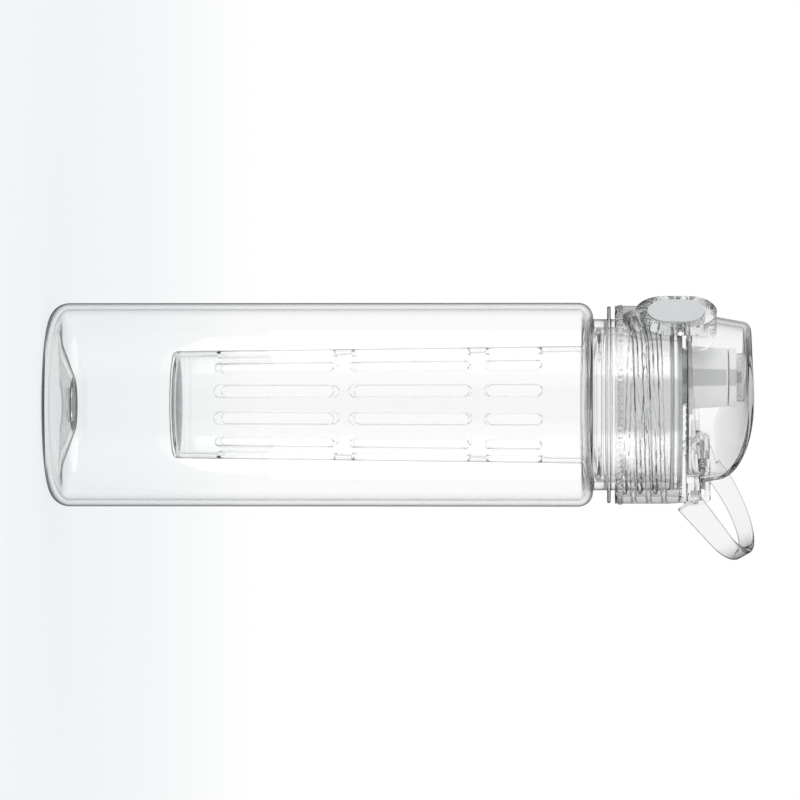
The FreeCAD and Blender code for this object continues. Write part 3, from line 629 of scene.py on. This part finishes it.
def make_basket():
    """Slotted basket: one clear skin whose columns part round each slot."""
    levels = slot_levels()
    below, outside, collar, inside, bottom = basket_outlines(levels)
    verts, faces = [], []
    rings = [basket_ring(verts, *point) for point in below + outside + collar + inside + bottom]
    for lower, upper in zip(rings, rings[1:]):
        for low_row, high_row in zip(lower, upper):
            for cell in range(2 * COLUMNS + 1):
                if cell != COLUMNS:
                    add_face(faces, (low_row[cell], low_row[cell + 1], high_row[cell + 1], high_row[cell]))
    outer_start = len(below)
    inner_start = len(below + outside + collar + inside)
    for index in range(1, len(levels) - 1):
        if levels[index][1] or levels[index + 1][1]:
            outer, inner = rings[outer_start + index:][:2], rings[inner_start - index - 1:][:2]
            for sector in range(SECTORS):
                for edge in (COLUMNS, COLUMNS + 1):
                    add_face(faces, [ring[sector][edge] for ring in outer + inner])
    mesh = closed_mesh("basket_shell", verts, faces)
    basket = finish_object("basket_shell", mesh, "infuser", basket_clear, sharp=40)
    soften(basket, width=0.3, segments=2)
    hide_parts("infuser_basket")


# Cap

def make_collar():
    """Screw cap with its thread inside, a greyer latch bezel and a clearer rim."""
    bore = SKIRT_R - SKIRT_WALL
    low, high, root = SKIRT_LOW + 0.8, DECK_LOW - 0.9, bore + 0.7
    start, turns, segments = SKIRT_LOW + 3.2 + THREAD_PITCH / 2, 2.6, 192
    rim_low, bezel_back = DECK_LOW - 0.1, -35.7
    ring = [(root, low)] + rows_between(bore - SEAT, low, high, THREAD_ROW) + [(root, high)]

    def cap_thread(angle, radius, height):
        return -THREAD_DEPTH * thread(angle, height, start, turns) if radius < bore else 0.0

    def seats(x, y, z):
        return SEAT * (abs(z - DECK_LOW) < NEAR) - SEAT * (abs(z - DECK_TOP) < NEAR)

    threads = lathe(ring, segments, cap_thread, closed=True)
    mesh = joined("collar_shell", welded(eased_copy("cap_collar", seats)), [threads])
    collar = finish_object("collar_shell", mesh, "cap", cap_clear, sharp=30)
    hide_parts("cap_collar")
    paint(mesh, rim_clear, lambda x, y, z: z > rim_low)
    paint(mesh, bezel_clear, lambda x, y, z: y < bezel_back)


def make_grip_beads():
    """Band of small round beads round the lower edge of the cap's skirt."""
    count, steps, proud, bead_r, row = 86, 8, 0.55, 0.85, 0.2
    band_r, root = SKIRT_R - 0.1, SKIRT_R - 1.0
    low, high = SKIRT_LOW + 0.8, SKIRT_LOW + 3.0
    band = [(root, low)] + rows_between(band_r, low, high, row) + [(root, high)]

    def bead(angle, radius, height):
        across = (angle * count / (2 * math.pi)) % 1 - 0.5
        away = math.hypot(across * 2 * math.pi * band_r / count, height - (low + high) / 2)
        return proud * math.sqrt(max(0.0, 1 - (away / bead_r) ** 2)) if radius > root else 0.0

    mesh = closed_mesh("grip_beads", *lathe(band, count * steps, bead, closed=True))
    finish_object("grip_beads", mesh, "cap", cap_clear)


def make_cover():
    """Flip cover, with the upper half of the latch bezel a little greyer than the dome."""
    boss_r, bezel_back = 8.7, -34.0

    def seats(x, y, z):
        on_seal = min(abs(z - SEAL_TOP), abs(z - SEAL_TOP + SEAL_STEM)) < NEAR
        return SEAT * (on_seal and math.hypot(x, y - SPOUT_Y) < boss_r)

    mesh = eased_copy("flip_cover", seats)
    cover = finish_object("cover_shell", mesh, "cover", cover_clear, sharp=None)
    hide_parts("flip_cover")
    paint(mesh, bezel_clear, lambda x, y, z: y < bezel_back)


def make_latch_coil():
    """Spring behind the button's lower half, which the real button presses flatter; it keeps its CAD shape
    here.
    """
    mesh = nodes["latch_spring"].data.copy()
    coil = finish_object("latch_coil", mesh, "cap", steel, sharp=None)
    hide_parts("latch_spring")
    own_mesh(coil)


# Carry loop

def strap_plan(half, draw, start, leg, tip):
    """Middle line of the strap as (x, y) points: out along a leg, round the tip, back along the other leg."""
    leg_steps, arc_steps = 10, 24
    tip_half, rise = half - draw, tip - leg
    radius = (tip_half ** 2 + rise ** 2) / (2 * rise)
    swing = math.atan2(tip_half, radius - rise)
    plan = []
    for step in range(leg_steps):
        share = step / leg_steps
        plan.append((half - draw * share, start + (leg - start) * share))
    for step in range(arc_steps + 1):
        turn = swing * (1 - step / arc_steps)
        plan.append((radius * math.sin(turn), tip - radius + radius * math.cos(turn)))
    return plan + [(-x, y) for x, y in reversed(plan[:-1])]


def strap_section(half_wall, half_height, edge):
    """(across, up) points round the strap's section, with rounded edges."""
    turns = [math.radians(degrees) for degrees in range(0, 91, 15)]
    section = []
    for side, top in ((1, 1), (-1, 1), (-1, -1), (1, -1)):
        for turn in turns if side == top else reversed(turns):
            across = half_wall - edge + edge * math.cos(turn)
            section.append((side * across, top * (half_height - edge + edge * math.sin(turn))))
    return section


def box_form(low, high):
    """Vertices and faces of a small block between two corners."""
    corners = [(x, y, z) for x in (low[0], high[0]) for y in (low[1], high[1]) for z in (low[2], high[2])]
    return corners, [(0, 1, 3, 2), (4, 6, 7, 5), (0, 4, 5, 1), (2, 3, 7, 6), (0, 2, 6, 4), (1, 5, 7, 3)]


def make_loop():
    """Strap loop with rounded edges, and the tabs that plug into the knuckles."""
    half, draw, start, leg, length = 22.6, 1.0, 1.25, 23.0, 40.4
    wall, root_height, tip_height, edge = 2.2, 5.0, 3.1, 1.0
    level, tilt = HINGE_Z - 5.2, math.radians(34)
    tab_in, tab_out, tab_reach, tab_height, tab_lift = 16.25, 21.2, 1.95, 1.35, 2.4
    plan = strap_plan(half - wall / 2, draw, start, leg, length - wall / 2)
    verts, faces, rows = [], [], []
    for index, (x, y) in enumerate(plan):
        before, after = Vector(plan[max(0, index - 1)]), Vector(plan[min(len(plan) - 1, index + 1)])
        along = (after - before).normalized()
        height = root_height + (tip_height - root_height) * min(1.0, y / length)
        section = strap_section(wall / 2, height, edge)
        rows.append(range(len(verts), len(verts) + len(section)))
        for across, up in section:
            out = y - along.x * across
            verts.append((x + along.y * across,
                          HINGE_Y + out * math.cos(tilt) - up * math.sin(tilt),
                          level + out * math.sin(tilt) + up * math.cos(tilt)))
    for lower, upper in zip(rows, rows[1:]):
        for here in range(len(lower)):
            after = (here + 1) % len(lower)
            faces.append((lower[here], lower[after], upper[after], upper[here]))
    faces += [list(rows[0]), list(rows[-1])]
    tab_middle = level + tab_lift
    tabs = [box_form((side * tab_in, HINGE_Y - tab_reach, tab_middle - tab_height),
                     (side * tab_out, HINGE_Y + tab_reach, tab_middle + tab_height)) for side in (-1, 1)]
    mesh = joined("loop_strap", closed_mesh("loop_strap", verts, faces), tabs)
    loop = finish_object("loop_strap", mesh, "cap", loop_clear, sharp=40)
    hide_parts("carry_loop")


soften(nodes["latch_button"], width=0.5, segments=4)
make_bottle()
make_basket()
make_collar()
make_grip_beads()
make_cover()
make_latch_coil()
make_loop()


# Stage, in metres

FLOOR_HALF = 1.2
FLOOR_LEVEL = -0.0002
SWEEP = 1.15  # how far from the bottle the floor has turned to the background's white


def shows_background(tree):
    """1 for rays that show the background: straight from the camera, mirrored or through glass."""
    path = tree.nodes.new("ShaderNodeLightPath")
    total = path.outputs["Is Camera Ray"]
    for kind in ("Is Glossy Ray", "Is Transmission Ray"):
        larger = tree.nodes.new("ShaderNodeMath")
        larger.operation = "MAXIMUM"
        tree.links.new(total, larger.inputs[0])
        tree.links.new(path.outputs[kind], larger.inputs[1])
        total = larger.outputs[0]
    return total


def mixed(tree, share, first, second):
    """Two shaders mixed by a share of the second."""
    mix = tree.nodes.new("ShaderNodeMixShader")
    tree.links.new(share, mix.inputs["Fac"])
    tree.links.new(first, mix.inputs[1])
    tree.links.new(second, mix.inputs[2])
    return mix.outputs[0]


def pale_floor():
    """Pale sweep that turns to the white of the background away from the bottle."""
    material = bpy.data.materials.new("pale_floor")
    material.use_nodes = True
    tree = material.node_tree
    tree.nodes.clear()
    out = tree.nodes.new("ShaderNodeOutputMaterial")
    diffuse = tree.nodes.new("ShaderNodeBsdfDiffuse")
    paint_colour = ramp(tree, noise(tree, scale=6), [(0.3, (0.79, 0.82, 0.825)), (0.7, (0.83, 0.86, 0.865))])
    tree.links.new(paint_colour, diffuse.inputs["Color"])
    place = tree.nodes.new("ShaderNodeTexCoord")
    reach = tree.nodes.new("ShaderNodeVectorMath")
    reach.operation = "LENGTH"
    tree.links.new(place.outputs["Object"], reach.inputs[0])
    away = tree.nodes.new("ShaderNodeMapRange")
    away.interpolation_type = "SMOOTHSTEP"
    away.inputs["From Max"].default_value = SWEEP
    tree.links.new(reach.outputs["Value"], away.inputs["Value"])
    glow = tree.nodes.new("ShaderNodeEmission")
    glow_colour = ramp(tree, away.outputs["Result"], [(0.0, (0.95, 0.985, 0.995)), (1.0, (1.0, 1.0, 1.0))])
    tree.links.new(glow_colour, glow.inputs["Color"])
    share = tree.nodes.new("ShaderNodeMath")
    share.operation = "MULTIPLY"
    tree.links.new(shows_background(tree), share.inputs[0])
    tree.links.new(spread(tree, away.outputs["Result"], low=0.8, high=1.0), share.inputs[1])
    tree.links.new(mixed(tree, share.outputs[0], diffuse.outputs[0], glow.outputs[0]), out.inputs["Surface"])
    return material


def make_floor():
    """Flat floor under the bottle, which keeps its shadow."""
    mesh = bpy.data.meshes.new("floor")
    corners = [(x * FLOOR_HALF, y * FLOOR_HALF, FLOOR_LEVEL) for x, y in ((-1, -1), (1, -1), (1, 1), (-1, 1))]
    mesh.from_pydata(corners, [], [(0, 1, 2, 3)])
    mesh.materials.append(pale_floor())
    linked("floor", mesh)


def studio_world():
    """Even light, and a white background under a dim ceiling, which mirrored and refracted rays see too."""
    world = bpy.data.worlds.new("studio")
    scene.world = world
    world.use_nodes = True
    tree = world.node_tree
    tree.nodes.clear()
    out = tree.nodes.new("ShaderNodeOutputWorld")
    lit = tree.nodes.new("ShaderNodeBackground")
    lit.inputs["Color"].default_value = (0.98, 0.99, 1.0, 1)
    lit.inputs["Strength"].default_value = 0.55
    place = tree.nodes.new("ShaderNodeTexCoord")
    parts = tree.nodes.new("ShaderNodeSeparateXYZ")
    tree.links.new(place.outputs["Generated"], parts.inputs[0])
    shown = tree.nodes.new("ShaderNodeBackground")
    sky = ramp(tree, parts.outputs["Z"], greys((0.0, 1.0), (0.2, 1.0), (0.55, 0.6), (1.0, 0.45)))
    tree.links.new(sky, shown.inputs["Color"])
    seen = mixed(tree, shows_background(tree), lit.outputs[0], shown.outputs[0])
    tree.links.new(seen, out.inputs["Surface"])


def soft_lamp(name, place, aim, size, power):
    """A large rectangular lamp, in metres and watts."""
    data = bpy.data.lights.new(name, "AREA")
    data.shape = "RECTANGLE"
    data.size, data.size_y = size
    data.energy = power
    lamp = linked(name, data)
    lamp.location = place
    lamp.rotation_euler = (aim - place).to_track_quat("-Z", "Y").to_euler()


# Camera, turned a quarter so that the bottle lies along the picture as it does in the photo

TURN = math.radians(33)
TOWARD_CAMERA = Vector((math.cos(TURN), -math.sin(TURN), 0))
PICTURE_UP = Vector((-math.sin(TURN), -math.cos(TURN), 0))
CAMERA_REACH = 1.8
CAMERA_HEIGHT = 0.198
AIM_HEIGHT = 0.1258
PICTURE_SHIFT = 0.0017
FOCAL_LENGTH = 226
SENSOR = 36


def make_camera():
    """Long lens level with the bottle's shoulder, aimed at its middle."""
    aim = Vector((0, 0, AIM_HEIGHT)) + PICTURE_UP * PICTURE_SHIFT
    eye = Vector((0, 0, CAMERA_HEIGHT)) + PICTURE_UP * PICTURE_SHIFT + TOWARD_CAMERA * CAMERA_REACH
    ahead = (aim - eye).normalized()
    right = ahead.cross(PICTURE_UP)
    lens = bpy.data.cameras.new("camera")
    lens.lens = FOCAL_LENGTH
    lens.sensor_width = SENSOR
    camera = linked("camera", lens)
    camera.matrix_world = Matrix.Translation(eye) @ Matrix((right, PICTURE_UP, -ahead)).transposed().to_4x4()
    scene.camera = camera


LAMP_AIM = Vector((0, 0, 0.2))
LAMP_SIDE = PICTURE_UP * 0.92
LAMP_FRONT = TOWARD_CAMERA * 0.39
LAMP_SIZE = (0.95, 1.8)

make_floor()
studio_world()
soft_lamp("key_box", LAMP_AIM + LAMP_SIDE + LAMP_FRONT, LAMP_AIM, LAMP_SIZE, power=8)
soft_lamp("fill_box", LAMP_AIM - LAMP_SIDE + LAMP_FRONT, LAMP_AIM, LAMP_SIZE, power=6)
make_camera()

scene.view_settings.view_transform = "Standard"
scene.cycles.max_bounces = 32
scene.cycles.transmission_bounces = 32
